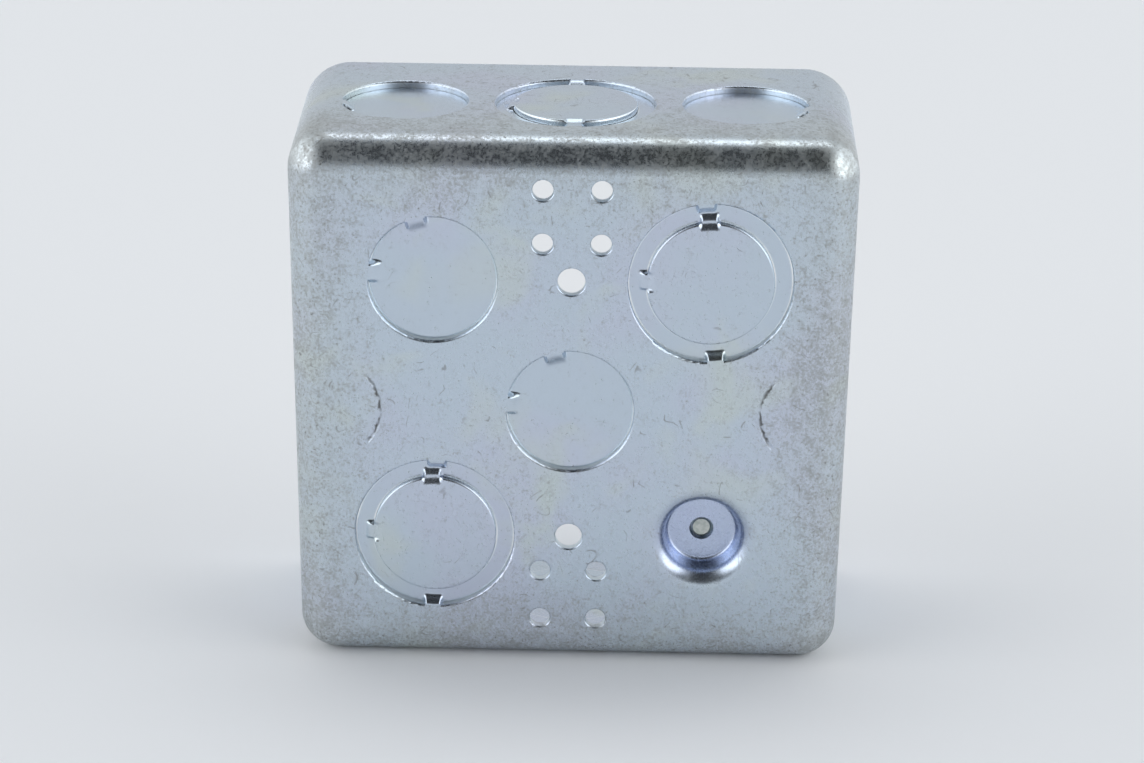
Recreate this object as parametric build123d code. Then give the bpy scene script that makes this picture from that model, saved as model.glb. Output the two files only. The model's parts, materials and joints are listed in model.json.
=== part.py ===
"""Square drawn-steel electrical junction box with knockouts, in millimetres.

The back is closed and faces -Y, and the box opens towards +Y. +Z is up and +X is to the right of
somebody who looks at the outside of the back. The origin is the middle of the back's outer face.
Every knockout is drawn in the local frame of its wall: u and v lie in the wall's outer face, and w
points outwards, so that the sheet lies between w = -SHEET and w = 0.
"""
import math
import os

from build123d import *

# Drawn shell
RIM_SIZE = 101.6  # across the open rim, outside
WALL_FLARE = 2.4  # how far each wall leans out between the back plane and the rim
DEPTH = 46.0  # back plane to rim plane
SHEET = 1.6  # sheet thickness
CORNER_RADIUS = 9.0  # between two side walls at the rim, outside
BACK_RADIUS = 6.0  # between the back and the side walls, outside

# Knockouts: a half-sheared slug is pushed into the box and hangs on narrow ties
KNOCKOUT_RADIUS = 11.1  # hole that a small knockout leaves
RING_RADIUS = 14.1  # hole that a large, concentric knockout leaves
RECESS = 1.2  # how far a slug or a ring is pushed in
SLUG_GAP = 0.1  # radial play of a slug in its hole
RING_GAP = 0.15  # radial play of a ring in its hole
DISC_GAP = 0.15  # radial play of a disc in its ring
EDGE_ROLL = 0.45  # radius that the shearing leaves along a knockout's outer edge
TIE_WIDTH = 3.4  # width of the strip that a slug hangs on
RING_TIE_WIDTH = 2.8  # width of the strips that hold a ring
TIE_RAMP = 3.0  # length over which a slug's tie rises to the wall
SIDE_INSET = 20.8  # middle of a side wall's outer knockouts, from the rim's corner
BACK_INSET = 27.0  # middle of the back's knockouts, from the rim's outline

# Angles of the ties, counted from u towards v
UPPER_LEFT_TIES = (105.0, 174.0)
CENTER_TIES = (105.0, 174.0)
SIDE_TIES = ((190.0, 255.0), (285.0, 350.0))  # a side wall's first and second knockout along u
RING_TIES = {"upper_right": 95.0, "lower_left": 88.0, "side": 90.0}
DISC_TIES = {"upper_right": (93.0, 179.0), "lower_left": (92.0, 179.0), "side": (180.0, 270.0)}

# Holes in the back
MOUNTING_HOLE_RADIUS = 2.4
MOUNTING_HOLE_OFFSET = 23.8  # above and below the middle
SMALL_HOLE_RADIUS = 1.8
SMALL_HOLE_SIDE = 5.0  # either side of the middle
SMALL_HOLE_ROWS = (30.5, 39.9)  # above and below the middle
PUNCH_ROLL = 0.35  # radius that the punch leaves round the outer edge of these holes

# Raised ground: a cup pressed into the box, with a tapped hole in its floor
GROUND_CUP_DEPTH = 4.8
GROUND_MOUTH_RADIUS = 7.2
GROUND_FLOOR_RADIUS = 6.2
GROUND_MOUTH_ROUND = 3.0
GROUND_FLOOR_ROUND = 0.7
GROUND_THREAD_RADIUS = 2.17  # pitch radius of a 10-32 thread, with play
GROUND_SCREW_LENGTH = 6.35
GROUND_TIP_SINK = 0.6  # tip of the backed-out screw, below the cup's floor
GROUND_WASHER_RADIUS = 4.9
GROUND_WASHER_HEIGHT = 1.0
GROUND_HEX_WIDTH = 7.9  # across flats
GROUND_HEX_HEIGHT = 3.2

# Marks that the drawing die leaves on the back: a shallow arc either side of the middle
DIE_MARK_CENTER = 42.5  # arc's centre, from the middle
DIE_MARK_ARC = 9.4  # arc's radius
DIE_MARK_SWEEP = 84.0
DIE_MARK_ROUND = 0.5  # radius of the groove's section
DIE_MARK_DEPTH = 0.12

# Cover ears, folded in at two corners, and their screws
EAR_INSET = 10.95  # screw axis from the rim's outline, both ways
EAR_RADIUS = 6.2
EAR_DROP = 0.8  # ear's outer face below the rim plane
EAR_THREAD_RADIUS = 1.83  # pitch radius of an 8-32 thread, with play
COVER_SCREW_LENGTH = 12.0
COVER_HEAD_RADIUS = 4.0
COVER_HEAD_HEIGHT = 2.4
COVER_HEAD_ROUND = 1.0
COVER_SCREW_LIFT = 3.0  # head's underside above the ear

# Details that the screws share
THREAD_PLAY = 0.04
SLOT_WIDTH = 1.2
SLOT_DEPTH = 1.2
TIP_CHAMFER = 0.5

# Worked out from the sizes above
RIM_HALF = RIM_SIZE / 2
FLARE_ANGLE = math.degrees(math.atan(WALL_FLARE / DEPTH))
SLUG_RADIUS = KNOCKOUT_RADIUS - SLUG_GAP
RING_OUTER = RING_RADIUS - RING_GAP
DISC_RADIUS = KNOCKOUT_RADIUS - DISC_GAP
RING_MIDDLE = (KNOCKOUT_RADIUS + RING_OUTER) / 2
SLUG_FLOOR = -RECESS - SHEET
SIDE_KNOCKOUT_Y = DEPTH / 2
SIDE_OFFSET = RIM_HALF - SIDE_INSET
BACK_OFFSET = RIM_HALF - BACK_INSET
EAR_OFFSET = RIM_HALF - EAR_INSET
EAR_TOP = DEPTH - EAR_DROP
GROUND_BOSS_TOP = -GROUND_CUP_DEPTH - SHEET
GROUND_SEAT_TRAVEL = GROUND_SCREW_LENGTH + GROUND_TIP_SINK - SHEET
CUT_BELOW = SLUG_FLOOR - 1.0  # hole cutters reach past everything that hangs in a hole
OVERSHOOT = 1.0  # how far a cutter passes the face that it cuts
TRIM_HEIGHT = 4 * (RECESS + SHEET)  # trims a slug or a ring to its round outline

BOTTOM = (Align.CENTER, Align.CENTER, Align.MIN)
TOP = (Align.CENTER, Align.CENTER, Align.MAX)

# Side walls: name, turn about Y from the top wall, names of the two outer knockouts along u
SIDE_WALLS = (
    ("top", 0, ("left", "right")),
    ("right", 90, ("upper", "lower")),
    ("bottom", 180, ("right", "left")),
    ("left", 270, ("lower", "upper")),
)
EAR_CORNERS = (("upper_left", -1, 1), ("lower_right", 1, -1))


def back_frame(u=0.0, v=0.0):
    """Frame on the outside of the back, with its middle at u, v."""
    return Plane(origin=(u, 0, v), x_dir=(1, 0, 0), z_dir=(0, -1, 0))


def side_frame(turn, along):
    """Frame on the outside of a side wall at knockout height: u goes round, v to the rim."""
    angle = math.radians(turn)
    lean = math.radians(FLARE_ANGLE)
    outward = Vector(math.sin(angle), 0, math.cos(angle))
    sideways = Vector(math.cos(angle), 0, -math.sin(angle))
    reach = RIM_HALF - WALL_FLARE * (DEPTH - SIDE_KNOCKOUT_Y) / DEPTH
    origin = outward * reach + sideways * along + Vector(0, SIDE_KNOCKOUT_Y, 0)
    normal = outward * math.cos(lean) - Vector(0, math.sin(lean), 0)
    return Plane(origin=origin, x_dir=sideways, z_dir=normal)


def drawn_block(inset):
    """Solid of the drawn shape, a given distance inside the outer surface."""
    rim = Plane(origin=(0, DEPTH, 0), x_dir=(1, 0, 0), z_dir=(0, -1, 0))
    size = RIM_SIZE - 2 * inset
    outline = rim * RectangleRounded(size, size, CORNER_RADIUS - inset)
    block = extrude(outline, DEPTH - inset, taper=FLARE_ANGLE)
    back_edges = block.edges().group_by(Axis.Y)[0]
    return fillet(back_edges, BACK_RADIUS - inset)


def plate(radius, top):
    """Disc of sheet whose outer face is at height top."""
    return Pos(0, 0, top) * Cylinder(radius, SHEET, align=TOP)


def hole(radius):
    """Cutter through the wall."""
    return Pos(0, 0, OVERSHOOT) * Cylinder(radius, OVERSHOOT - CUT_BELOW, align=TOP)


def sheared_arcs(radius, ties, width):
    """Start and sweep of each stretch of a circle between two of its ties."""
    half = math.degrees(math.asin(width / 2 / radius))
    ordered = sorted(ties)
    following = ordered[1:] + [ordered[0] + 360]
    return [(a + half, b - a - 2 * half) for a, b in zip(ordered, following)]


def edge_roll(radius, side, roll, arcs):
    """Cutter that rounds a sheared edge at w = 0 over its arcs: side 1 round a hole, -1 round a disc."""
    free = radius - side * roll / 2
    flat = radius + side * roll
    middle = flat - side * roll * math.sqrt(0.5)
    bend = ThreePointArc((flat, 0), (middle, roll * (math.sqrt(0.5) - 1)), (radius, -roll))
    rest = Polyline((radius, -roll), (free, -roll), (free, roll), (flat, roll), (flat, 0))
    section = Plane.XZ * make_face([bend, rest])
    cutters = Part()
    for start, sweep in arcs:
        cutters += Rot(0, 0, start) * revolve(section, Axis.Z, sweep)
    return cutters


def punched_hole(radius):
    """Cutter for a round hole whose outer edge the punch has rolled in."""
    return hole(radius) + edge_roll(radius, 1, PUNCH_ROLL, [(0, 360)])


def tie(angle, foot, head, width):
    """Strip of sheet that rises from a recessed slug at radius foot to the wall at radius head."""
    corners = [
        (foot, -RECESS),
        (head, 0),
        (head, -SHEET),
        (foot, SLUG_FLOOR),
    ]
    strip = extrude(Plane.XZ * make_face(Polyline(*corners, close=True)), width / 2, both=True)
    return Rot(0, 0, angle) * strip


def tie_notch(angle, foot, head, width):
    """Room in a slug for a tie."""
    near = min(foot, head)
    block = Pos(near, 0, -RECESS) * Box(
        abs(head - foot), width, SHEET, align=(Align.MIN, Align.CENTER, Align.MAX)
    )
    return Rot(0, 0, angle) * block


def slug(ties):
    """Recessed disc of a small knockout, with the ties that it hangs on."""
    reach = SLUG_RADIUS + OVERSHOOT
    foot = SLUG_RADIUS - TIE_RAMP
    body = plate(SLUG_RADIUS, -RECESS)
    for angle in ties:
        body -= tie_notch(angle, foot, reach, TIE_WIDTH)
    for angle in ties:
        body += tie(angle, foot, SLUG_RADIUS, TIE_WIDTH)
    return body & Cylinder(SLUG_RADIUS, TRIM_HEIGHT)


def ring(ring_tie, disc_ties):
    """Recessed ring of a concentric knockout: ties to the wall outside, and to the disc inside."""
    outer = [(ring_tie, RING_OUTER, RING_TIE_WIDTH), (ring_tie + 180, RING_OUTER, RING_TIE_WIDTH)]
    inner = [(angle, KNOCKOUT_RADIUS, RING_TIE_WIDTH) for angle in disc_ties]
    body = plate(RING_OUTER, -RECESS)
    for angle, head, width in outer + inner:
        end = head + OVERSHOOT if head > RING_MIDDLE else head - OVERSHOOT
        body -= tie_notch(angle, RING_MIDDLE, end, width)
    for angle, head, width in outer + inner:
        body += tie(angle, RING_MIDDLE, head, width)
    return (body & Cylinder(RING_OUTER, TRIM_HEIGHT)) - Cylinder(KNOCKOUT_RADIUS, TRIM_HEIGHT)


def ring_disc(disc_ties):
    """Disc inside a ring, still level with the wall, its edge rounded between its ties."""
    arcs = sheared_arcs(DISC_RADIUS, disc_ties, RING_TIE_WIDTH)
    return plate(DISC_RADIUS, 0) - edge_roll(DISC_RADIUS, -1, EDGE_ROLL, arcs)


def ground_boss():
    """Inside of the pressed cup, one sheet thick round it."""
    top = GROUND_FLOOR_RADIUS + SHEET
    base = GROUND_MOUTH_RADIUS + SHEET
    far = base + 2 * GROUND_MOUTH_ROUND
    outline = Polyline(
        (0, -SHEET / 2), (far, -SHEET / 2), (far, -SHEET), (base, -SHEET),
        (top, GROUND_BOSS_TOP), (0, GROUND_BOSS_TOP), close=True,
    )
    section = make_face(outline)
    section = fillet(section.vertices().sort_by_distance((base, -SHEET))[0], GROUND_MOUTH_ROUND - SHEET)
    section = fillet(section.vertices().sort_by_distance((top, GROUND_BOSS_TOP))[0], SHEET)
    return revolve(Plane.XZ * section, Axis.Z)


def ground_cup():
    """Cutter for the outside of the pressed cup, with a soft mouth and a crisp floor."""
    far = GROUND_MOUTH_RADIUS + 2 * GROUND_MOUTH_ROUND
    floor = -GROUND_CUP_DEPTH
    outline = Polyline(
        (0, OVERSHOOT), (far, OVERSHOOT), (far, 0), (GROUND_MOUTH_RADIUS, 0),
        (GROUND_FLOOR_RADIUS, floor), (0, floor), close=True,
    )
    section = make_face(outline)
    mouth = section.vertices().sort_by_distance((GROUND_MOUTH_RADIUS, 0))[0]
    section = fillet(mouth, GROUND_MOUTH_ROUND)
    corner = section.vertices().sort_by_distance((GROUND_FLOOR_RADIUS, floor))[0]
    section = fillet(corner, GROUND_FLOOR_ROUND)
    return revolve(Plane.XZ * section, Axis.Z)


def die_mark(sign):
    """Cutter for the shallow arc on one side of the back, bulging towards the middle."""
    section = Plane.XZ * Pos(DIE_MARK_ARC, DIE_MARK_ROUND - DIE_MARK_DEPTH) * Circle(DIE_MARK_ROUND)
    arc = Rot(0, 0, -DIE_MARK_SWEEP / 2) * revolve(section, Axis.Z, DIE_MARK_SWEEP)
    facing = 0 if sign < 0 else 180
    return back_frame(sign * DIE_MARK_CENTER, 0) * Rot(0, 0, facing) * arc


def ear(sign_x, sign_z, outer):
    """Tab across a corner of the rim, inside the drawn outline, with its tapped hole."""
    frame = Plane(
        origin=(sign_x * EAR_OFFSET, EAR_TOP, sign_z * EAR_OFFSET),
        x_dir=(sign_x, 0, sign_z),
        z_dir=(0, 1, 0),
    )
    round_end = Cylinder(EAR_RADIUS, SHEET, align=TOP)
    outward = (Align.MIN, Align.CENTER, Align.MAX)
    strap = Box(CORNER_RADIUS + EAR_INSET, 2 * EAR_RADIUS, SHEET, align=outward)
    return frame, (frame * (round_end + strap)) & outer


def screw_shank(radius, length):
    """Shank that points to -w from the head's underside, with a chamfered tip."""
    shank = Cylinder(radius, length, align=TOP)
    return chamfer(shank.edges().group_by(Axis.Z)[0], TIP_CHAMFER)


def slot(across, top):
    """Cutter for a driver slot in a head that measures across."""
    return Pos(0, 0, top) * Box(across, SLOT_WIDTH, SLOT_DEPTH, align=TOP)


def cover_screw(sign_x, sign_z):
    """Pan-head cover screw, backed out of its ear."""
    head = Cylinder(COVER_HEAD_RADIUS, COVER_HEAD_HEIGHT, align=BOTTOM)
    head = fillet(head.edges().group_by(Axis.Z)[-1], COVER_HEAD_ROUND)
    body = head + screw_shank(EAR_THREAD_RADIUS - THREAD_PLAY, COVER_SCREW_LENGTH)
    body -= slot(2 * COVER_HEAD_RADIUS, COVER_HEAD_HEIGHT)
    frame = Plane(
        origin=(sign_x * EAR_OFFSET, EAR_TOP + COVER_SCREW_LIFT, sign_z * EAR_OFFSET),
        x_dir=(1, 0, 0),
        z_dir=(0, 1, 0),
    )
    return frame * body


def ground_screw():
    """Hex washer-head grounding screw, backed out from the inside of the cup."""
    hex_radius = GROUND_HEX_WIDTH / math.sqrt(3)
    washer = Cylinder(GROUND_WASHER_RADIUS, GROUND_WASHER_HEIGHT, align=BOTTOM)
    hexagon = extrude(RegularPolygon(hex_radius, 6), GROUND_WASHER_HEIGHT + GROUND_HEX_HEIGHT)
    body = washer + hexagon + screw_shank(GROUND_THREAD_RADIUS - THREAD_PLAY, GROUND_SCREW_LENGTH)
    body -= slot(2 * hex_radius, GROUND_WASHER_HEIGHT + GROUND_HEX_HEIGHT)
    seat = -GROUND_BOSS_TOP + GROUND_SEAT_TRAVEL
    frame = Plane(origin=(BACK_OFFSET, seat, -BACK_OFFSET), x_dir=(1, 0, 0), z_dir=(0, 1, 0))
    return frame * body


# Every small knockout: name, frame, ties. Every ring: wall, place on it, frame
KNOCKOUTS = [
    ("back_knockout_upper_left", back_frame(-BACK_OFFSET, BACK_OFFSET), UPPER_LEFT_TIES),
    ("back_knockout_center", back_frame(), CENTER_TIES),
]
RINGS = [
    ("back", "upper_right", back_frame(BACK_OFFSET, BACK_OFFSET)),
    ("back", "lower_left", back_frame(-BACK_OFFSET, -BACK_OFFSET)),
]
for wall, turn, ends in SIDE_WALLS:
    for end, along, ties in zip(ends, (-SIDE_OFFSET, SIDE_OFFSET), SIDE_TIES):
        KNOCKOUTS.append((f"{wall}_knockout_{end}", side_frame(turn, along), ties))
    RINGS.append((wall, "side", side_frame(turn, 0.0)))


def box_shell():
    """Drawn shell with its knockout holes, ground cup, fixing holes and cover ears."""
    outer = drawn_block(0.0)
    shell = outer - drawn_block(SHEET)
    for sign_x, sign_z in [corner[1:] for corner in EAR_CORNERS]:
        frame, tab = ear(sign_x, sign_z, outer)
        shell += tab
        shell -= frame * Pos(0, 0, OVERSHOOT) * Cylinder(EAR_THREAD_RADIUS, SHEET + 2 * OVERSHOOT, align=TOP)
    for _, frame, ties in KNOCKOUTS:
        arcs = sheared_arcs(KNOCKOUT_RADIUS, ties, TIE_WIDTH)
        shell -= frame * (hole(KNOCKOUT_RADIUS) + edge_roll(KNOCKOUT_RADIUS, 1, EDGE_ROLL, arcs))
    for _, place, frame in RINGS:
        first = RING_TIES[place]
        arcs = sheared_arcs(RING_RADIUS, (first, first + 180), RING_TIE_WIDTH)
        shell -= frame * (hole(RING_RADIUS) + edge_roll(RING_RADIUS, 1, EDGE_ROLL, arcs))
    ground = back_frame(BACK_OFFSET, -BACK_OFFSET)
    shell += ground * ground_boss()
    shell -= ground * ground_cup()
    shell -= ground * Cylinder(GROUND_THREAD_RADIUS, OVERSHOOT - GROUND_BOSS_TOP, align=TOP)
    for sign in (-1, 1):
        shell -= die_mark(sign)
        shell -= back_frame(0, sign * MOUNTING_HOLE_OFFSET) * punched_hole(MOUNTING_HOLE_RADIUS)
        for row in SMALL_HOLE_ROWS:
            for side in (-SMALL_HOLE_SIDE, SMALL_HOLE_SIDE):
                shell -= back_frame(side, sign * row) * punched_hole(SMALL_HOLE_RADIUS)
    return shell


def build():
    """Every piece by name."""
    pieces = {"box_shell": box_shell(), "ground_screw": ground_screw()}
    for name, frame, ties in KNOCKOUTS:
        pieces[name] = frame * slug(ties)
    for wall, place, frame in RINGS:
        end = "" if place == "side" else f"_{place}"
        pieces[f"{wall}_ring{end}"] = frame * ring(RING_TIES[place], DISC_TIES[place])
        pieces[f"{wall}_ring_disc{end}"] = frame * ring_disc(DISC_TIES[place])
    for corner, sign_x, sign_z in EAR_CORNERS:
        pieces[f"cover_screw_{corner}"] = cover_screw(sign_x, sign_z)
    return pieces


os.makedirs("parts", exist_ok=True)
for piece_name, piece in build().items():
    export_step(piece, f"parts/{piece_name}.step")
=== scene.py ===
"""Square drawn-steel junction box, zinc plated, with half-sheared knockouts and its screws.

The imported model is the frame. Its drawn shell stays and gets its finish here. The slugs, rings, discs and
screws are worked out as surfaces, in metres, in the local frame of the wall that they sit in: u and v lie
in the wall's outer face, and w points outwards.
"""
import json
import math

import bpy
import numpy as np
from mathutils import Matrix, Vector


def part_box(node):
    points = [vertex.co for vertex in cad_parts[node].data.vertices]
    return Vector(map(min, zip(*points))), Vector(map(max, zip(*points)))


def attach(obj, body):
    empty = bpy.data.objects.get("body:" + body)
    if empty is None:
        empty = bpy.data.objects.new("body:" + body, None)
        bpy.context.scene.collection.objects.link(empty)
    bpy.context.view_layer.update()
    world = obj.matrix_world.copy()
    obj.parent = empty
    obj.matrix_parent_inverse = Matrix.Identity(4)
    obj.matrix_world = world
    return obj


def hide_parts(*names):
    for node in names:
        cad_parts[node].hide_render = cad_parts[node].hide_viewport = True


bl_info = {
    "name": "Junction Box",
    "version": (1, 0, 0),
    "blender": (4, 5, 0),
    "location": "View3D > Sidebar > Junction Box",
    "description": "Finishes a drawn-steel junction box round its packed model",
    "category": "Object",
}

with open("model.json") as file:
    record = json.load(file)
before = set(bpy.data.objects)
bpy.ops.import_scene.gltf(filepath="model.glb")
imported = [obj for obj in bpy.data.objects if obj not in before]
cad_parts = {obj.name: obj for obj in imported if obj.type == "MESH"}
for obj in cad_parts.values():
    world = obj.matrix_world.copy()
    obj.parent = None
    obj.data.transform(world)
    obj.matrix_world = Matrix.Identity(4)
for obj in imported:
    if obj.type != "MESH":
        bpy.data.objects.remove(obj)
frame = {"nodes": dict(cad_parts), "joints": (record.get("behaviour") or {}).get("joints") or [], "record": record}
RECORD = frame["record"]
MOUNTS = {mount["name"]: mount for mount in RECORD["mounts"]}
JOINTS = {joint["child"]: joint for joint in frame["joints"]}
SHELL_LOW, SHELL_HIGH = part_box("box_shell")
RIM_HALF = SHELL_HIGH.x
DEPTH = SHELL_HIGH.y
MM = 0.001
WELD = 1e-8  # points closer than this are one point

SEAT = "_seat"
SLUG_SEATS = sorted(name for name in MOUNTS if name.endswith(SEAT) and "_knockout_" in name)
RING_SEATS = sorted(name for name in MOUNTS if name.endswith(SEAT) and "_ring" in name)
COVER_SCREWS = ("cover_screw_upper_left", "cover_screw_lower_right")

# Camera: place in metres, angles in degrees, film and lens in millimetres, clipping in metres.
CAMERA_PLACE = (6.0 * MM, -375.1 * MM, 148.0 * MM)
CAMERA_PITCH, CAMERA_YAW, CAMERA_ROLL = 20.77, 0.87, 0.71
CAMERA_FILM, CAMERA_LENS = 36.0, 72.85
CAMERA_CLIP = (0.01, 20.0)

# Room: parts of a direction, ahead, sideways and upwards, between which its light changes.
AIR_TINT = (0.955, 0.98, 1.0)
FRONT_AHEAD = (0.02, 0.28)
FRONT_SIDEWAYS = (0.28, 0.68)
FRONT_UPWARDS = (0.0, 0.40)
STRIP_UPWARDS = (0.84, 0.93)
WINDOW_SIDEWAYS = (0.45, 0.75)
WINDOW_AHEAD = (-0.6, 0.5)
WINDOW_NEAR, WINDOW_FAR = 1.3, 0.8  # brightness of a window's near and far end against its middle

# Sheared walls of slugs, rings and discs.
WALL_ROWS = np.array([0.0, 0.40, 0.55, 1.0])  # shares of the sheet at which a wall has its points
WALL_BREAK = np.array([0.0, 0.0, 1.0, 1.0])  # how far each of them is broken out
BROKEN_OUT = 0.04 * MM
SLUG_WEAR, RING_WEAR, DISC_WEAR = 0.50 * MM, 0.45 * MM, 0.40 * MM  # widths of the bright rims
WHOLE_STRIP = 3.8 * MM  # width of the strip on a tie that isn't sheared and so isn't bright
WHOLE_SHOULDER = WHOLE_STRIP / 8
BURR, BURR_RUN = 0.07 * MM, 0.16 * MM

# Pits torn at the ends of the shears: how far from the edge, and how wide.
SLUG_PIT = (0.45 * MM, 0.40 * MM)
RING_PIT = (0.30 * MM, 0.30 * MM)
DISC_PIT = (0.20 * MM, 0.25 * MM)
DISC_TEAR = 0.5  # depth of a disc's pits against the others

# Shares of the way out at which slugs, rings and discs have their points.
SLUG_STEPS = np.concatenate([np.linspace(0.0, 0.72, 7), np.linspace(0.76, 0.985, 14), [0.993, 1.0]])
RING_STEPS = np.linspace(0.0, 1.0, 22)
DISC_STEPS = np.concatenate(
    [np.linspace(0.0, 0.8, 7), np.linspace(0.84, 0.955, 9), np.linspace(0.962, 1.0, 9)]
)

# Threads and heads.
LEVELS_A_TURN, SHANK_SIDES, ROUND_SIDES = 12, 56, 72
FLANK_SLOPE, FLANK_SHIFT = 1.25, 0.125  # triangle wave, cut off flat at its crest and root
POINT_ROOT = 0.80  # radius of a screw's point against its root
POINT_START = 0.25  # share of the point's length at which its end face lies
COVER_POINT, GROUND_POINT = 0.8 * MM, 0.9 * MM
IN_HEAD = 0.2 * MM  # how far a shank runs into its head
HEAD_ROWS, SLOT_ROWS, CHORD_POINTS = 16, 4, 33
PAN_RADIUS, PAN_HEIGHT, PAN_ROUND = 4.0 * MM, 2.4 * MM, 1.0 * MM
WASHER_RADIUS, WASHER_HEIGHT = 4.9 * MM, 1.0 * MM
WASHER_FOOT, WASHER_LOW, WASHER_HIGH, WASHER_TOP = 0.20 * MM, 0.25 * MM, 0.60 * MM, 0.25 * MM  # its chamfers
HEX_FLATS, HEX_HEIGHT = 7.9 * MM, 3.2 * MM
HEX_CORNER = HEX_FLATS / math.sqrt(3)
CHAMFER_START, CHAMFER_SLOPE = 0.93, 0.6


# ---------------------------------------------------------------- settings


def length(name, text, value):
    """Property that holds a length in metres."""
    return bpy.props.FloatProperty(
        name=name, description=text, default=value, min=0.0, unit="LENGTH", precision=5
    )


def share(name, text, value):
    """Property that holds a share from 0 to 1."""
    return bpy.props.FloatProperty(
        name=name, description=text, default=value, min=0.0, max=1.0, subtype="FACTOR"
    )


def colour(name, text, value):
    """Property that holds a linear colour."""
    return bpy.props.FloatVectorProperty(
        name=name, description=text, default=value, size=3, min=0.0, max=4.0, subtype="COLOR"
    )


def brightness(name, text, value):
    """Property that holds a brightness of the room, 1 for white paper."""
    return bpy.props.FloatProperty(name=name, description=text, default=value, min=0.0)


class StageSettings(bpy.types.PropertyGroup):
    wall_flare: length("Wall flare", "How far the lower wall leans out over the box's depth", 2.4 * MM)
    floor_size: length("Floor size", "Side of the square floor", 6.0)
    floor_colour: colour("Floor colour", "Pale paper", (0.905, 0.915, 0.935))
    ceiling_light: brightness("Ceiling light", "Light strip over the box", 2.2)
    side_light: brightness("Side light", "Windows left and right", 1.66)
    backdrop_light: brightness("Backdrop light", "Wall behind the box", 0.69)
    horizon_light: brightness("Horizon light", "Room in front, at table height", 0.30)
    room_light: brightness("Room light", "Room in front, overhead", 0.035)


class ZincSettings(bpy.types.PropertyGroup):
    plate: colour("Plate", "Blue-white zinc", (0.570, 0.652, 0.742))
    cool: colour("Cool tint", "Slightly violet passivation", (0.586, 0.636, 0.755))
    warm: colour("Warm tint", "Slightly yellow passivation", (0.604, 0.672, 0.686))
    rubbed: colour("Rubbed", "Neutral plate, rubbed along the drawn edges", (0.600, 0.640, 0.625))
    stain: colour("Stain", "Grey-brown worn plate", (0.395, 0.412, 0.412))
    hair: colour("Hairline", "Dark short scratches", (0.230, 0.225, 0.215))
    grime: colour("Grime", "Dark dirt in pits and seams", (0.085, 0.080, 0.070))
    cut: colour("Cut edge", "Bright sheared steel", (0.800, 0.860, 0.900))
    # Colour of the painted shade in the ground cup: a dark violet-blue reflection painted into the plate's colour.
    cup_shade: colour("Cup shade", "Violet-blue painted shade in the ground cup", (0.520, 0.590, 0.790))
    roughness: share("Roughness", "Roughness of the clean plate", 0.27)
    worn_roughness: share("Worn roughness", "Roughness of the stained plate", 0.46)
    sheared_roughness: share("Sheared roughness", "Roughness of a punched hole's wall", 0.60)


class KnockoutSettings(bpy.types.PropertyGroup):
    sheet: length("Sheet", "Sheet thickness", 1.6 * MM)
    recess: length("Recess", "How far slugs and rings are pushed in", 1.2 * MM)
    slug_gap: length("Slug gap", "Play of a slug in its hole", 0.1 * MM)
    ring_gap: length("Ring gap", "Play of a ring in its hole", 0.15 * MM)
    disc_gap: length("Disc gap", "Play of a disc in its ring", 0.15 * MM)
    tie: length("Tie", "Width of a slug's tie", 3.4 * MM)
    ring_tie: length("Ring tie", "Width of a ring's tie", 3.1 * MM)
    tie_ramp: length("Tie ramp", "Length over which a slug's tie rises", 2.5 * MM)
    ring_ramp: length("Ring ramp", "Length over which a ring's tie rises", 1.7 * MM)
    shoulder: length("Shoulder", "Softness of a tie's torn sides", 0.42 * MM)
    edge_roll: length("Edge roll", "Rounding of a disc's sheared edge", 0.45 * MM)
    dish: length("Dish", "How far the middle of a slug sinks", 0.05 * MM)
    tear: length("Tear", "Depth of the pit at each end of a shear", 0.10 * MM)
    side_ramp: length("Side ramp", "Length over which a tie of a side wall's ring rises", 2.7 * MM)
    pull: length("Pull", "How far a disc's edge is drawn down at its ties", 0.5 * MM)
    pull_run: length("Pull run", "How far in from its edge a disc is drawn down", 1.5 * MM)
    slug_shoulder: length("Slug shoulder", "Softness of the sides of a slug's tie", 0.5 * MM)


class ScrewSettings(bpy.types.PropertyGroup):
    cover_major: length("Cover thread", "Outer radius of the cover screws' thread", 2.05 * MM)
    cover_minor: length("Cover root", "Root radius of the cover screws' thread", 1.62 * MM)
    cover_pitch: length("Cover pitch", "Pitch of the cover screws' thread", 0.794 * MM)
    ground_major: length("Ground thread", "Outer radius of the ground screw's thread", 2.38 * MM)
    ground_minor: length("Ground root", "Root radius of the ground screw's thread", 1.90 * MM)
    ground_pitch: length("Ground pitch", "Pitch of the ground screw's thread", 0.794 * MM)
    slot_width: length("Slot width", "Width of a driver slot", 1.2 * MM)
    slot_depth: length("Slot depth", "Depth of a driver slot", 1.2 * MM)


# ---------------------------------------------------------------- surfaces


def smooth(low, high, value):
    """0 below low, 1 above high and the cubic 3t^2 - 2t^3 between them."""
    t = np.clip((value - low) / (high - low), 0.0, 1.0)
    return t * t * (3.0 - 2.0 * t)


def quads_of(rows, columns, wrap, first):
    """Corner numbers of the quads of a rows-by-columns grid whose points start at number first."""
    row = np.arange(rows - 1)[:, None]
    column = np.arange(columns if wrap else columns - 1)[None, :]
    after = (column + 1) % columns
    here = row * columns
    there = here + columns
    corners = (here + column, here + after, there + after, there + column)
    return np.stack(np.broadcast_arrays(*corners), axis=-1).reshape(-1, 4) + first


def welded(points, quads):
    """Points with doubles merged, the new number of each old point, and the quads and triangles left."""
    keys, index = np.unique(np.round(points / WELD).astype(np.int64), axis=0, return_inverse=True)
    merged = keys * WELD
    index = index.reshape(-1)
    faces = index[quads]
    doubled = faces == np.roll(faces, -1, axis=1)
    whole = faces[doubled.sum(axis=1) == 0]
    pinched = faces[doubled.sum(axis=1) == 1]
    kept = ~doubled[doubled.sum(axis=1) == 1]
    return merged, index, whole, pinched[kept].reshape(-1, 3)


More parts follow.
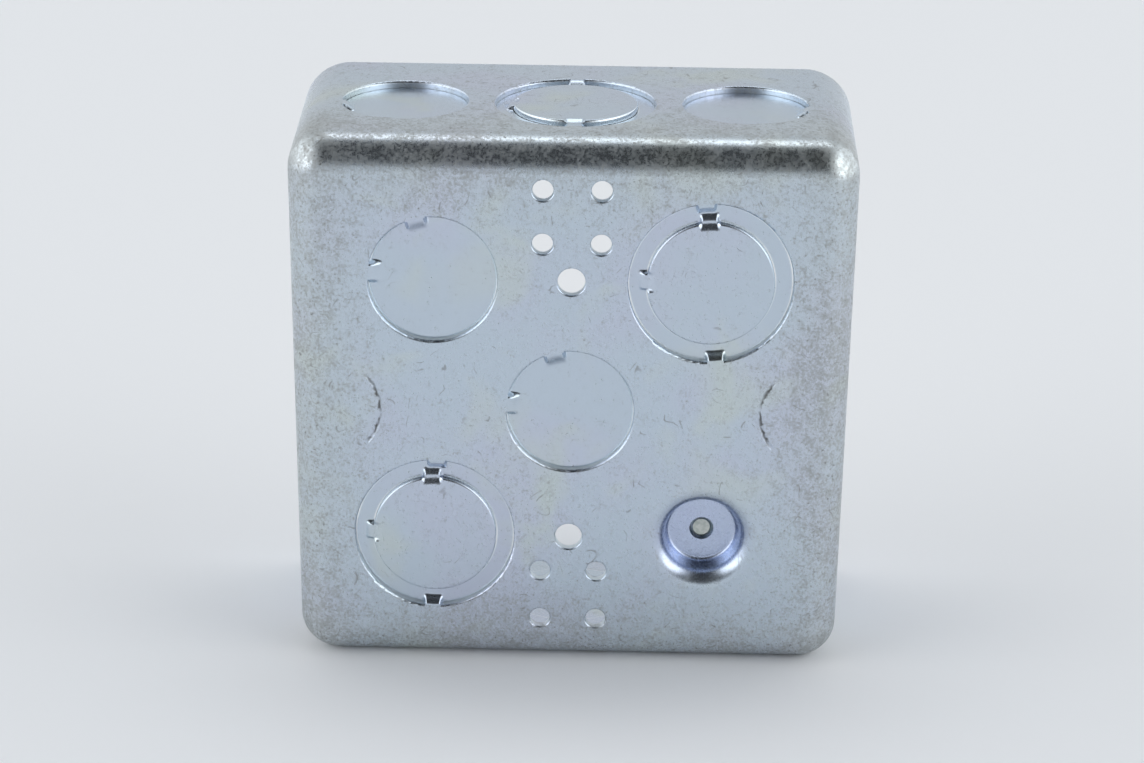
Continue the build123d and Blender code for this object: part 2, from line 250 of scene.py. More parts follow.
def volume_of(points, triangles):
    """Signed volume: a sixth of the sum of a . (b x c) over the triangles."""
    a, b, c = (points[triangles[:, i]] for i in range(3))
    return float((a * np.cross(b, c)).sum()) / 6.0


def solid(name, grids, attributes=None, sharp=40.0):
    """Closed mesh from grids of points, each an array (rows, columns, 3) and whether it wraps.

    Every grid closes on itself or on its neighbour once doubles are merged. The faces are turned
    outwards by the sign of the volume. attributes are values for the grids' points.
    """
    points, quads, first = [], [], 0
    for grid, wrap in grids:
        rows, columns = grid.shape[:2]
        points.append(grid.reshape(-1, 3))
        quads.append(quads_of(rows, columns, wrap, first))
        first += rows * columns
    merged, index, whole, pinched = welded(np.concatenate(points), np.concatenate(quads))
    triangles = np.concatenate([whole[:, [0, 1, 2]], whole[:, [0, 2, 3]], pinched])
    if volume_of(merged - merged.mean(axis=0), triangles) < 0:
        whole, pinched = whole[:, ::-1], pinched[:, ::-1]
    mesh = bpy.data.meshes.new(name)
    mesh.from_pydata(merged.tolist(), [], whole.tolist() + pinched.tolist())
    for label, value in (attributes or {}).items():
        held = np.zeros(len(merged), np.float32)
        held[index] = value
        mesh.attributes.new(label, "FLOAT", "POINT").data.foreach_set("value", held)
    mesh.shade_smooth()
    mesh.set_sharp_from_angle(angle=math.radians(sharp))
    mesh.update()
    piece = bpy.data.objects.new(name, mesh)
    bpy.context.scene.collection.objects.link(piece)
    return piece


def placed(local, place):
    """Points given as u, v, w, carried to the row frame."""
    centre, axes = place
    return centre + local @ axes


def wall_frame(seat):
    """Middle of a knockout's seat and the rows u, v, w of its frame. v points up on the back, and towards
    the rim on the side walls."""
    centre = np.array(seat["pos_m"])
    w = np.array(seat["axis"])
    w /= np.linalg.norm(w)
    on_back = w[1] < -0.5
    towards = np.array([0.0, 0.0, 1.0]) if on_back else np.array([0.0, 1.0, 0.0])
    v = towards - w * (towards @ w)
    v /= np.linalg.norm(v)
    return centre, np.stack([np.cross(v, w), v, w])


def tie_angles(body, place, radius):
    """Angles at which a body's hinge line crosses a circle round its seat: its two ties."""
    centre, axes = place
    joint = JOINTS[body]
    on_line = (axes @ (np.array(joint["pos_m"]) - centre))[:2]
    along = (axes @ np.array(joint["axis"]))[:2]
    along /= np.linalg.norm(along)
    on_line -= along * (on_line @ along)
    reach = math.sqrt(radius**2 - on_line @ on_line)
    ends = [on_line + sign * reach * along for sign in (1, -1)]
    return [math.atan2(end[1], end[0]) for end in ends]


def ring_of_angles(ties, step=3.0, fine=0.5, window=13.0):
    """Angles round a circle: a coarse step in degrees, and a fine one within a window of the ties."""
    coarse = np.radians(np.arange(0.0, 360.0, step))
    near = np.radians(np.arange(-window, window + fine / 2, fine))
    dense = np.concatenate([near + tie for tie in ties]) % (2 * math.pi)
    turn = np.abs(coarse[:, None] - np.array(ties)[None, :] % (2 * math.pi))
    turn = np.minimum(turn, 2 * math.pi - turn)
    clear = coarse[(turn > math.radians(window + fine)).all(axis=1)]
    return np.unique(np.round(np.concatenate([clear, dense]), 7))


def across_ties(radius, angle, ties, width, shoulder):
    """1 on the strips that run out at the ties' angles, 0 off them, and soft over a shoulder."""
    held = np.zeros(np.broadcast(radius, angle).shape)
    for tie in ties:
        off = np.abs(radius * np.sin(angle - tie))
        strip = 1.0 - smooth(width / 2 - shoulder, width / 2 + shoulder, off)
        held = np.maximum(held, np.where(np.cos(angle - tie) > 0, strip, 0.0))
    return held


def shear_ends(radius, angle, ties, width, at, size):
    """Bell-shaped spots beside each tie, where its shears end, at a radius."""
    spots = np.zeros(np.broadcast(radius, angle).shape)
    for tie in ties:
        for side in (-1, 1):
            far = radius * np.cos(angle - tie) - math.sqrt(at**2 - width**2 / 4)
            off = radius * np.sin(angle - tie) - side * width / 2
            spots += np.exp(-(far**2 + off**2) / size**2)
    return spots


def pressed_sheet(place, radii, angles, top, sheet, shrink=0.0):
    """Round piece of sheet: a face of height top over (radius, angle), its copy a sheet lower, and the
    walls between their outlines. radii holds the radius of every grid point. shrink narrows the
    broken-out lower half of the sheared walls."""
    inner, outer = radii[0], radii[-1]
    turn = np.stack([np.cos(angles), np.sin(angles)], axis=-1)

    def level(radius, height):
        return np.concatenate([radius[..., None] * turn, height[..., None]], axis=-1)

    def wall(radius, edge, inward):
        cuts = WALL_BREAK * shrink * inward
        return level(radius[None, :] + cuts[:, None], edge[None, :] - sheet * WALL_ROWS[:, None])

    floor_radii = radii + 0.0
    floor_radii[-1] = outer - shrink
    grids = [(level(radii, top), True)]
    if inner.max() > 0:
        floor_radii[0] = inner + shrink
        grids.append((wall(inner, top[0], 1.0), True))
    grids.append((wall(outer, top[-1], -1.0), True))
    grids.append((level(floor_radii, top - sheet)[::-1], True))
    return [(placed(grid, place), wrap) for grid, wrap in grids]


def worn_rim(grids, place, rims, width, ties):
    """1 at the sheared rims, falling to 0 over a width and on the ties, for the grids' points."""
    centre, axes = place
    points = np.concatenate([grid.reshape(-1, 3) for grid, _ in grids])
    local = (points - centre) @ axes.T
    radius = np.hypot(local[:, 0], local[:, 1])
    near = np.min([np.abs(radius - rim) for rim in rims], axis=0)
    angle = np.arctan2(local[:, 1], local[:, 0])
    whole = across_ties(radius, angle, ties, WHOLE_STRIP, WHOLE_SHOULDER)
    return (1.0 - smooth(0.0, width, near)) * (1.0 - whole)


# ---------------------------------------------------------------- materials

# Patterns: features per metre, then detail and roughness where they aren't the usual ones.
DRIFT = (38.0, 2.0)
TINT = (61.0, 2.0)
SWELL = (95.0, 2.0)
HAIR = (150.0, 1.0)
HAIR_PATCH = (330.0, 1.0)
CLOUD = (420.0, 8.0, 0.88)
ARC_GRAIN = (420.0, 4.0, 0.60)
PAPER = (500.0, 4.0)
DYE = (900.0, 4.0)
GRAIN = (1900.0, 4.0, 0.75)
STREAK = (2300.0, 3.0, 0.65)
FINE = (2600.0, 3.0, 0.60)
TINT_WARP, HAIR_WARP = 0.6, 0.8
STREAK_LENGTH = 0.10  # features along a streak against those across it

# Levels of a pattern between which a tint or a mark sets in.
COOL_SPAN = (0.42, 0.66)
WARM_SPAN = (0.50, 0.74)
STAIN_SPAN = (0.52, 0.75)
PIT_SPAN = (0.635, 0.72)
HAIR_SPAN = (0.002, 0.011)
HAIR_PATCH_SPAN = (0.56, 0.65)
ARC_GRAIN_SPAN = (0.35, 0.60)
WORN_RIM_SPAN = (0.55, 0.95)
DULL_SPAN = (0.0, 0.8)
DYE_SPAN = (0.38, 0.62)
DYE_DULL_SPAN = (0.3, 0.7)
DYE_ROUGHNESS = (0.32, 0.50)
DYED, UNDYED = (0.47, 0.52, 0.48), (0.68, 0.70, 0.67)

# Full strength of each mark.
RUBBED = 0.35
STAIN = 0.78
PITS = 0.60
HAIRLINES = 0.55
ARC_GRIME = 0.90
WORN_RIM = 0.80
# Strength of the painted shade in the ground cup.
CUP_SHADE = 0.75
SIDE_SHEAR = 0.30

# Finish of the other pieces against the shell's.
SLUG_FINISH = {"dirt": 0.35, "speckle": 0.30, "rough_shift": -0.03, "worn": True}
RING_FINISH = {"dirt": 0.30, "speckle": 0.25, "rough_shift": -0.02, "worn": True}
DISC_FINISH = {"dirt": 0.70, "speckle": 0.45, "rough_shift": -0.01, "worn": True}
SCREW_FINISH = {"dirt": 0.40, "speckle": 0.30, "rough_shift": -0.04}

# What else adds to the stain's level, the pits' level and the roughness.
STAIN_AT_EDGE, STAIN_BY_DRIFT, STAIN_BY_GRAIN = 0.13, 0.20, 0.75
PITS_AT_EDGE = 0.04
DULL_BY_CLOUD = 0.14

# Relief of the plate and its parts.
RELIEF_DEPTH = 0.11 * MM
SWELL_RELIEF, CLOUD_RELIEF, FINE_RELIEF, PIT_RELIEF, STREAK_RELIEF = 0.60, 0.22, 0.018, 0.05, 0.12
DYE_DEPTH, PAPER_DEPTH, PAPER_RELIEF = 0.06 * MM, 0.2 * MM, 0.08
PAPER_ROUGHNESS, PAPER_SHEEN = 0.85, 0.1

# Zones of the shell, as shares of half its rim's width.
OUTER_ZONE = (0.50, 0.97)
CORNER_ZONE = (0.72, 0.90)
BACK_FACE_ZONE = (0.80, 0.82)
SIDE_WALL_ZONE = (0.90, 0.905)
SIDE_FACE_ZONE = (0.74, 0.76)
CORNER_WEAR = 0.4
NEAR_BACK = (0.12, 0.62)  # shares of the depth
WEAR_AT_RIM = 0.25
STREAK_TURN = 3.0 * MM  # half of the width over which the streaks at a corner change sides
BACK_SHEET = (1.7 * MM, 1.9 * MM)  # depth at which the back's sheet ends
TURNED_AWAY = (0.15, 0.35)  # part of a surface's direction that lies along its wall's axis
# Radii of the painted shade in the ground cup.
CUP_ZONE = (6.0 * MM, 9.5 * MM)  # radii about the ground screw

# Die marks: an arc of a circle either side of the middle.
ARC_CENTRE, ARC_RADIUS, ARC_WIDTH = 42.5 * MM, 9.4 * MM, 0.42 * MM
ARC_CORE = 0.15  # share of the width that is dark all through
ARC_WOBBLE = 2.0 * MM
ARC_HALF_HEIGHT = (4.5 * MM, 7.0 * MM)
ARC_INNER_SIDE = (-2.0 * MM, 0.0)
ARC_DEPTH = (0.2 * MM, 1.0 * MM)


class Graph:
    """Short names for the nodes of one material or world."""

    def __init__(self, tree):
        self.tree = tree
        tree.nodes.clear()

    def node(self, kind, inputs=(), **settings):
        """Node of a kind with its settings, and its inputs by number or name: a socket or a value."""
        made = self.tree.nodes.new(kind)
        for key, value in settings.items():
            setattr(made, key, value)
        for key, value in dict(inputs).items():
            if isinstance(value, bpy.types.NodeSocket):
                self.tree.links.new(value, made.inputs[key])
            else:
                made.inputs[key].default_value = value
        return made

    def math(self, operation, *values):
        """Result of a math node."""
        return self.node("ShaderNodeMath", enumerate(values), operation=operation).outputs[0]

    def add(self, first, second):
        """first + second."""
        return self.math("ADD", first, second)

    def subtract(self, first, second):
        """first - second."""
        return self.math("SUBTRACT", first, second)

    def multiply(self, first, second):
        """first * second."""
        return self.math("MULTIPLY", first, second)

    def absolute(self, value):
        """|value|."""
        return self.math("ABSOLUTE", value)

    def maximum(self, first, second):
        """The larger of two values."""
        return self.math("MAXIMUM", first, second)

    def centred(self, pattern):
        """Pattern from 0 to 1, moved to lie about 0."""
        return self.subtract(pattern, 0.5)

    def distance(self, first, second):
        """Square root of first^2 + second^2."""
        return self.math("SQRT", self.add(self.math("POWER", first, 2.0), self.math("POWER", second, 2.0)))

    def parts(self, vector):
        """x, y and z of a vector."""
        return tuple(self.node("ShaderNodeSeparateXYZ", {0: vector}).outputs)

    def ramp(self, value, low, high, start=0.0, end=1.0):
        """Smooth step from start to end as value goes from low to high."""
        sockets = {"Value": value, "From Min": low, "From Max": high, "To Min": start, "To Max": end}
        step = self.node("ShaderNodeMapRange", sockets, interpolation_type="SMOOTHSTEP")
        return step.outputs["Result"]

    def fall(self, value, low, high):
        """Smooth step from 1 to 0 as value goes from low to high."""
        return self.ramp(value, low, high, 1.0, 0.0)

    def between(self, share_of, start, end):
        """Value from start to end by a share."""
        return self.ramp(share_of, 0.0, 1.0, start, end)

    def mix(self, share_of, first, second):
        """Colour between first and second by a share."""
        sockets = {0: share_of, 6: first, 7: second}
        return self.node("ShaderNodeMix", sockets, data_type="RGBA").outputs[2]

    def noise(self, vector, scale, detail=3.0, roughness=0.55, stretch=None, distortion=0.0):
        """Noise of so many features per metre, drawn out by a factor along each axis."""
        if stretch:
            mapping = self.node("ShaderNodeMapping", {"Vector": vector, "Scale": stretch})
            vector = mapping.outputs[0]
        sockets = {
            "Vector": vector,
            "Scale": scale,
            "Detail": detail,
            "Roughness": roughness,
            "Distortion": distortion,
        }
        return self.node("ShaderNodeTexNoise", sockets, noise_dimensions="3D").outputs[0]

    def bump(self, height, depth, strength=1.0):
        """Direction of a surface with a relief of so much depth."""
        sockets = {"Strength": strength, "Distance": depth, "Height": height}
        return self.node("ShaderNodeBump", sockets).outputs[0]

    def surface(self, **sockets):
        """Ends a material in one shader, its inputs named with underscores for spaces."""
        named = {key.replace("_", " "): value for key, value in sockets.items()}
        shader = self.node("ShaderNodeBsdfPrincipled", named)
        self.node("ShaderNodeOutputMaterial", {"Surface": shader.outputs[0]})


def new_material(name):
    """Material with an empty graph."""
    material = bpy.data.materials.new(name)
    material.use_nodes = True
    return material, Graph(material.node_tree)


def rgba(value):
    """Colour with full alpha."""
    return (*value, 1.0)


def scaled(span, size):
    """Both ends of a span times a size."""
    low, high = span
    return low * size, high * size


def edge_share(graph, xyz):
    """1 near the drawn edges of the box, more at its corners, 0 in the middle of its back."""
    x, y, z = xyz
    across, tall = graph.absolute(x), graph.absolute(z)
    outer = graph.ramp(graph.maximum(across, tall), *scaled(OUTER_ZONE, RIM_HALF))
    corner = graph.ramp(graph.math("MINIMUM", across, tall), *scaled(CORNER_ZONE, RIM_HALF))
    near_back = graph.ramp(y, *scaled(NEAR_BACK, DEPTH), 1.0, WEAR_AT_RIM)
    return graph.multiply(graph.add(outer, graph.multiply(corner, CORNER_WEAR)), near_back)


def drawing_streaks(graph, xyz, coordinates):
    """Fine streaks over the drawn edges: along y and z at the top and bottom, x and y at the sides."""
    over_top = graph.noise(coordinates, *STREAK, stretch=(1.0, STREAK_LENGTH, STREAK_LENGTH))
    over_side = graph.noise(coordinates, *STREAK, stretch=(STREAK_LENGTH, STREAK_LENGTH, 1.0))
    lead = graph.subtract(graph.absolute(xyz[2]), graph.absolute(xyz[0]))
    at_top = graph.ramp(lead, -STREAK_TURN, STREAK_TURN)
    at_side = graph.subtract(1.0, at_top)
    return graph.add(graph.multiply(over_top, at_top), graph.multiply(over_side, at_side))


def die_marks(graph, xyz, grain):
    """Grimy arc either side of the middle: |distance to a circle| under its width, near z = 0."""
    x, y, z = xyz
    from_centre = graph.subtract(graph.absolute(x), ARC_CENTRE)
    wobble = graph.multiply(graph.centred(grain), ARC_WOBBLE)
    off = graph.add(graph.subtract(graph.distance(from_centre, z), ARC_RADIUS), wobble)
    line = graph.fall(graph.absolute(off), ARC_CORE * ARC_WIDTH, ARC_WIDTH)
    tall = graph.fall(graph.absolute(z), *ARC_HALF_HEIGHT)
    inner_side = graph.fall(from_centre, *ARC_INNER_SIDE)
    on_back = graph.fall(y, *ARC_DEPTH)
    mark = graph.multiply(graph.multiply(line, tall), graph.multiply(inner_side, on_back))
    return graph.multiply(mark, graph.ramp(grain, *ARC_GRAIN_SPAN))


def cup_shade(graph, xyz):
    """1 in the ground cup, where its violet-blue painted shade goes, falling to 0 with the distance to the screw's
    axis.
    """
    low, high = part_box("ground_screw")
    x = graph.subtract(xyz[0], (low.x + high.x) / 2)
    z = graph.subtract(xyz[2], (low.z + high.z) / 2)
    return graph.fall(graph.distance(x, z), *CUP_ZONE)


def sheared_walls(graph, xyz, direction):
    """1 on the walls of punched holes: where the surface doesn't face along the axis of its own wall."""
    x, y, z = xyz
    across, tall = graph.absolute(x), graph.absolute(z)
    facing = graph.parts(direction)
    within = graph.fall(graph.maximum(across, tall), *scaled(BACK_FACE_ZONE, RIM_HALF))
    walls = [(facing[1], graph.multiply(graph.fall(y, *BACK_SHEET), within))]
    for along, beside, axis in ((across, tall, 0), (tall, across, 2)):
        outside = graph.ramp(along, *scaled(SIDE_WALL_ZONE, RIM_HALF))
        wall = graph.multiply(outside, graph.fall(beside, *scaled(SIDE_FACE_ZONE, RIM_HALF)))
        walls.append((facing[axis], graph.multiply(wall, SIDE_SHEAR)))
    held = 0.0
    for turned, wall in walls:
        off = graph.fall(graph.absolute(turned), *TURNED_AWAY)
        held = graph.maximum(held, graph.multiply(off, wall))
    return held


def hairlines(graph, coordinates):
    """1 on short scratches: where one pattern crosses its middle level, in patches of another."""
    level = graph.absolute(graph.centred(graph.noise(coordinates, *HAIR, distortion=HAIR_WARP)))
    patches = graph.ramp(graph.noise(coordinates, *HAIR_PATCH), *HAIR_PATCH_SPAN)
    return graph.multiply(graph.fall(level, *HAIR_SPAN), patches)


def stain_level(graph, cloud, drift, grain, edge):
    """Level of the stain's pattern, raised towards the drawn edges."""
    level = graph.add(cloud, graph.multiply(edge, STAIN_AT_EDGE))
    level = graph.add(level, graph.multiply(graph.centred(drift), STAIN_BY_DRIFT))
    return graph.add(level, graph.multiply(graph.centred(grain), STAIN_BY_GRAIN))


def zinc(name, settings, dirt=1.0, speckle=1.0, rough_shift=0.0, drawn=False, worn=False):
    """Zinc plate: a drift of blue, violet and yellow, grey-brown stains and pits that thicken towards the
    drawn edges, short scratches, and a fine uneven grain that also ripples the reflections. drawn adds
    what only the drawn shell has, among it a violet-blue painted shade in the ground cup, and worn the bright rims
    of the sheared pieces."""
    material, graph = new_material(name)
    places = graph.node("ShaderNodeTexCoord")
    coordinates = places.outputs["Object"]
    xyz = graph.parts(coordinates)
    edge = edge_share(graph, xyz) if drawn else 0.0

    drift = graph.noise(coordinates, *DRIFT)
    second = graph.noise(coordinates, *TINT, distortion=TINT_WARP)
    cloud = graph.noise(coordinates, *CLOUD)
    grain = graph.noise(coordinates, *GRAIN)
    level = stain_level(graph, cloud, drift, grain, edge)
    stain = graph.multiply(graph.ramp(level, *STAIN_SPAN), STAIN * dirt)
    pit_level = graph.add(grain, graph.multiply(edge, PITS_AT_EDGE))
    dark = graph.multiply(graph.ramp(pit_level, *PIT_SPAN), PITS * speckle)
    scratches = graph.multiply(hairlines(graph, coordinates), HAIRLINES * dirt)
    if drawn:
        arc = die_marks(graph, xyz, graph.noise(coordinates, *ARC_GRAIN))
        dark = graph.maximum(dark, graph.multiply(arc, ARC_GRIME))

    tone = graph.mix(graph.ramp(drift, *COOL_SPAN), rgba(settings.plate), rgba(settings.cool))
    tone = graph.mix(graph.ramp(second, *WARM_SPAN), tone, rgba(settings.warm))
    if drawn:
        rubbed = graph.multiply(graph.math("POWER", edge, 2.0), RUBBED)
        tone = graph.mix(rubbed, tone, rgba(settings.rubbed))
    tone = graph.mix(stain, tone, rgba(settings.stain))
    tone = graph.mix(scratches, tone, rgba(settings.hair))
    tone = graph.mix(dark, tone, rgba(settings.grime))
    if worn:
        rim = graph.node("ShaderNodeAttribute", attribute_name="worn_rim").outputs["Fac"]
        tone = graph.mix(graph.ramp(rim, *WORN_RIM_SPAN, 0.0, WORN_RIM), tone, rgba(settings.cut))

    low = settings.roughness + rough_shift
    high = settings.worn_roughness + rough_shift
    dull = graph.maximum(stain, graph.maximum(dark, scratches))
    roughness = graph.ramp(dull, *DULL_SPAN, low, high)
    roughness = graph.add(roughness, graph.multiply(graph.centred(cloud), DULL_BY_CLOUD))

    relief = graph.multiply(graph.noise(coordinates, *SWELL), SWELL_RELIEF)
    relief = graph.add(relief, graph.multiply(cloud, CLOUD_RELIEF))
    relief = graph.add(relief, graph.multiply(graph.noise(coordinates, *FINE), FINE_RELIEF))
    relief = graph.subtract(relief, graph.multiply(dark, PIT_RELIEF))
    if drawn:
        streak = graph.multiply(drawing_streaks(graph, xyz, coordinates), edge)
        relief = graph.add(relief, graph.multiply(streak, STREAK_RELIEF))
        # Painted shade: a darker violet-blue mixed in round the ground cup, standing for a dark reflection there.
        tone = graph.mix(graph.multiply(cup_shade(graph, xyz), CUP_SHADE), tone, rgba(settings.cup_shade))
        sheared = sheared_walls(graph, xyz, places.outputs["Normal"])
        tone = graph.mix(sheared, tone, rgba(settings.cut))
        roughness = graph.between(sheared, roughness, settings.sheared_roughness)

    bump = graph.bump(relief, RELIEF_DEPTH)
    graph.surface(Base_Color=tone, Metallic=1.0, Roughness=roughness, Normal=bump)
    return material


def dress(piece, slot_name, material, body, *nodes):
    """Gives a new piece its finish and its body, and hides the nodes that it stands for. slot_name is not used."""
    piece.data.materials.clear()
    piece.data.materials.append(material)
    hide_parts(*nodes)
    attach(piece, body)


# ---------------------------------------------------------------- operators


class JUNCTION_OT_stage(bpy.types.Operator):
    """Set the camera, the pale floor and the soft studio light"""

    bl_idname = "junction.stage"
    bl_label = "Stage"

    def execute(self, context):
        settings = context.scene.junction_stage
        self.camera(context)
        self.floor(context, settings)
        self.light(context, settings)
        context.scene.view_settings.view_transform = "Standard"
        return {"FINISHED"}

    def camera(self, context):
        """Camera that looks down at the back from a little to the right of its middle."""
        pitch, yaw, roll = (math.radians(angle) for angle in (CAMERA_PITCH, CAMERA_YAW, CAMERA_ROLL))
        right = Vector((math.cos(yaw), math.sin(yaw), 0.0))
        level = math.cos(pitch)
        ahead = Vector((-math.sin(yaw) * level, math.cos(yaw) * level, -math.sin(pitch)))
        above = right.cross(ahead)
        turned = right * math.cos(roll) + above * math.sin(roll)
        upright = above * math.cos(roll) - right * math.sin(roll)
        data = bpy.data.cameras.new("camera")
        data.sensor_width = CAMERA_FILM
        data.lens = CAMERA_LENS
        data.clip_start, data.clip_end = CAMERA_CLIP
        camera = bpy.data.objects.new("camera", data)
        camera.matrix_world = Matrix((turned, upright, -ahead)).transposed().to_4x4()
        camera.location = Vector(CAMERA_PLACE)
        context.scene.collection.objects.link(camera)
        context.scene.camera = camera

    def floor(self, context, settings):
        """Plane z = a + b y along the lower wall, on which the box stands."""
        slope = -settings.wall_flare / DEPTH
        at_back = SHELL_LOW.z + settings.wall_flare
        side = np.array([-1.0, 1.0]) * settings.floor_size / 2
        x, y = np.meshgrid(side, side)
        grid = np.stack([x, y, at_back + slope * y], axis=-1)
        mesh = bpy.data.meshes.new("floor")
        mesh.from_pydata(grid.reshape(-1, 3).tolist(), [], [(0, 1, 3, 2)])
        piece = bpy.data.objects.new("floor", mesh)
        context.scene.collection.objects.link(piece)
        material, graph = new_material("pale_paper")
        coordinates = graph.node("ShaderNodeTexCoord").outputs["Object"]
        bump = graph.bump(graph.noise(coordinates, *PAPER), PAPER_DEPTH, PAPER_RELIEF)
        graph.surface(
            Base_Color=rgba(settings.floor_colour),
            Roughness=PAPER_ROUGHNESS,
            Specular_IOR_Level=PAPER_SHEEN,
            Normal=bump,
        )
        mesh.materials.append(material)

    def light(self, context, settings):
        """Soft room: windows at both sides, a light strip above, a pale wall behind and a dim front."""
        world = bpy.data.worlds.new("studio")
        world.use_nodes = True
        context.scene.world = world
        graph = Graph(world.node_tree)
        direction = graph.node("ShaderNodeTexCoord").outputs["Generated"]
        x, ahead, upwards = graph.parts(direction)
        sideways = graph.absolute(x)
        dim = graph.multiply(graph.fall(ahead, *FRONT_AHEAD), graph.fall(sideways, *FRONT_SIDEWAYS))
        room = graph.ramp(upwards, *FRONT_UPWARDS, settings.horizon_light, settings.room_light)
        strip = graph.ramp(upwards, *STRIP_UPWARDS)
        level = graph.between(strip, settings.backdrop_light, settings.ceiling_light)
        near, far = (settings.side_light * part for part in (WINDOW_NEAR, WINDOW_FAR))
        window = graph.ramp(ahead, *WINDOW_AHEAD, near, far)
        level = graph.between(graph.ramp(sideways, *WINDOW_SIDEWAYS), level, window)
        level = graph.between(dim, level, room)
        background = graph.node("ShaderNodeBackground", {"Color": rgba(AIR_TINT), "Strength": level})
        graph.node("ShaderNodeOutputWorld", {"Surface": background.outputs[0]})


class JUNCTION_OT_shell(bpy.types.Operator):
    """Give the drawn shell its stained zinc plate"""

    bl_idname = "junction.shell"
    bl_label = "Shell"

    def execute(self, context):
        shell = frame["nodes"]["box_shell"]
        material = zinc("shell_zinc_plate", context.scene.junction_zinc, drawn=True)
        shell.data.materials.clear()
        shell.data.materials.append(material)
        return {"FINISHED"}


class JUNCTION_OT_slugs(bpy.types.Operator):
    """Make the small knockouts' slugs with the ties that they hang on"""

    bl_idname = "junction.slugs"
    bl_label = "Slugs"

    def execute(self, context):
        cut = context.scene.junction_knockouts
        material = zinc("slug_zinc_plate", context.scene.junction_zinc, **SLUG_FINISH)
        for seat in SLUG_SEATS:
            node = seat[: -len(SEAT)]
            place = wall_frame(MOUNTS[seat])
            hole = MOUNTS[seat]["dims"]["r_mm"] * MM
            rim = hole - cut.slug_gap
            ties = tie_angles(node, place, rim)
            angles = ring_of_angles(ties)
            held = across_ties(rim, angles, ties, cut.tie, cut.slug_shoulder)
            radii = SLUG_STEPS[:, None] * (rim + cut.slug_gap * held)[None, :]
            top = self.face(radii, angles, ties, rim, cut)
            grids = pressed_sheet(place, radii, angles, top, cut.sheet, BROKEN_OUT)
            wear = worn_rim(grids, place, [rim], SLUG_WEAR, ties)
            piece = solid(f"{node}_slug", grids, {"worn_rim": wear})
            dress(piece, "slug_zinc", material, node, node)
        return {"FINISHED"}

    def face(self, radii, angles, ties, rim, cut):
        """Height: recessed and slightly dished, rising over the ties, torn at the ends of the shears and
        rolled down a little round the rim."""
        strip = across_ties(radii, angles, ties, cut.tie, cut.slug_shoulder)
        climb = smooth(rim - cut.tie_ramp, rim, radii)
        height = -cut.recess * (1.0 - strip * climb)
        height -= cut.dish * (1.0 - np.clip(radii / rim, 0.0, 1.0) ** 2)
        inset, size = SLUG_PIT
        height -= cut.tear * shear_ends(radii, angles, ties, cut.tie, rim - inset, size)
        burr = BURR * smooth(rim - BURR_RUN, rim, radii) * (1.0 - strip)
        return height - burr


class JUNCTION_OT_rings(bpy.types.Operator):
    """Make the recessed rings of the large knockouts"""

    bl_idname = "junction.rings"
    bl_label = "Rings"

    def execute(self, context):
        cut = context.scene.junction_knockouts
        material = zinc("ring_zinc_plate", context.scene.junction_zinc, **RING_FINISH)
        for seat in RING_SEATS:
            node = seat[: -len(SEAT)]
            disc = disc_of(node)
            place = wall_frame(MOUNTS[seat])
            outer = MOUNTS[seat]["dims"]["r_mm"] * MM - cut.ring_gap
            inner = small_hole()
            ties = tie_angles(node, place, outer)
            disc_ties = tie_angles(disc, place, inner - cut.disc_gap)
            angles = ring_of_angles(ties + disc_ties)
            reach = outer + cut.ring_gap * across_ties(outer, angles, ties, cut.ring_tie, cut.shoulder)
            bore = inner - cut.disc_gap * across_ties(inner, angles, disc_ties, cut.ring_tie, cut.shoulder)
            steps = RING_STEPS[:, None]
            radii = bore[None, :] * (1.0 - steps) + reach[None, :] * steps
            climb = cut.ring_ramp if node.startswith("back") else cut.side_ramp
            top = self.face(radii, angles, ties, disc_ties, inner, outer, climb, cut)
            grids = pressed_sheet(place, radii, angles, top, cut.sheet, BROKEN_OUT)
            wear = worn_rim(grids, place, [inner, outer], RING_WEAR, ties + disc_ties)
            piece = solid(f"{node}_pressed", grids, {"worn_rim": wear})
            dress(piece, "ring_zinc", material, node, node)
        return {"FINISHED"}

    def face(self, radii, angles, ties, disc_ties, inner, outer, climb, cut):
        """Height: recessed, rising outwards over the ring's ties and inwards over the disc's ties."""
        out_strip = across_ties(radii, angles, ties, cut.ring_tie, cut.shoulder)
        in_strip = across_ties(radii, angles, disc_ties, cut.ring_tie, cut.shoulder)
        out_climb = out_strip * smooth(outer - climb, outer, radii)
        drawn_down = 1.0 - cut.pull / cut.recess
        in_climb = in_strip * (1.0 - smooth(inner, inner + cut.ring_ramp, radii)) * drawn_down
        height = -cut.recess * (1.0 - np.clip(out_climb + in_climb, 0.0, 1.0))
        inset, size = RING_PIT
        height -= cut.tear * shear_ends(radii, angles, ties, cut.ring_tie, outer - inset, size)
        height -= cut.tear * shear_ends(radii, angles, disc_ties, cut.ring_tie, inner + inset, size)
        return height


